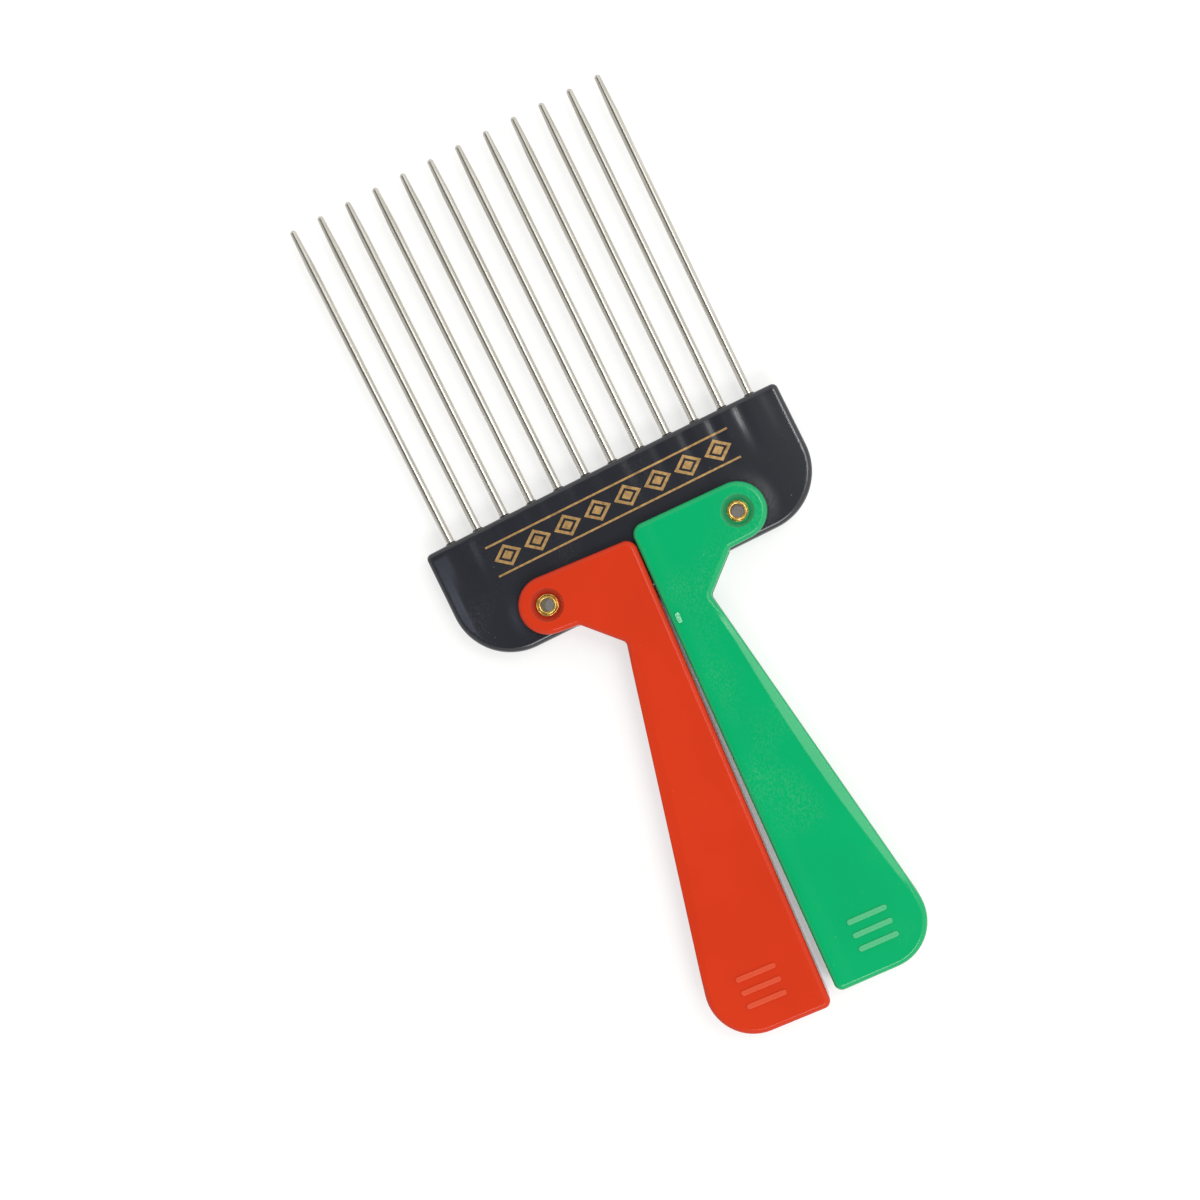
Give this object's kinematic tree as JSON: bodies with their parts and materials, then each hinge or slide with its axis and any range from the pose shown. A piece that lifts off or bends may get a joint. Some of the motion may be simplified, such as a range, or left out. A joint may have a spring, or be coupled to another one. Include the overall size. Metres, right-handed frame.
{
  "type": "folding afro pick",
  "caption": "Folding afro pick: a moulded head with a fan of round wire tines and channel handles that swing on hollow eyelets to make a grip or to guard the tines.",
  "frame": {"origin": "midway between the two eyelets, on the middle plane of the head", "axes": "+X from the red handle's pivot to the green one's, +Y towards the tine tips, +Z out of the front face; the pick lies on its back"},
  "size_m": [0.083, 0.1987, 0.0106],
  "materials": {
    "black_plastic": "moulded gloss",
    "nickel_wire": "bright drawn wire",
    "red_plastic": "moulded gloss",
    "green_plastic": "moulded gloss",
    "brass": "bright"
  },
  "bodies": {
    "head_unit": {"head": "black_plastic", "tine_01": "nickel_wire", "tine_02": "nickel_wire", "tine_03": "nickel_wire", "tine_04": "nickel_wire", "tine_05": "nickel_wire", "tine_06": "nickel_wire", "tine_07": "nickel_wire", "tine_08": "nickel_wire", "tine_09": "nickel_wire", "tine_10": "nickel_wire", "tine_11": "nickel_wire", "tine_12": "nickel_wire", "red_eyelet": "brass", "green_eyelet": "brass"},
    "red_handle": {"red_handle": "red_plastic"},
    "green_handle": {"green_handle": "green_plastic"}
  },
  "joints": [
    {"name": "red_fold", "type": "hinge", "parent": "head_unit", "child": "red_handle", "pos_m": [-0.02235, 0, 0], "axis": [0, 0, 1], "range_deg": [-176.9, 0]},
    {"name": "green_fold", "type": "hinge", "parent": "head_unit", "child": "green_handle", "pos_m": [0.02235, 0, 0], "axis": [0, 0, 1], "range_deg": [0, 182.1]}
  ]
}
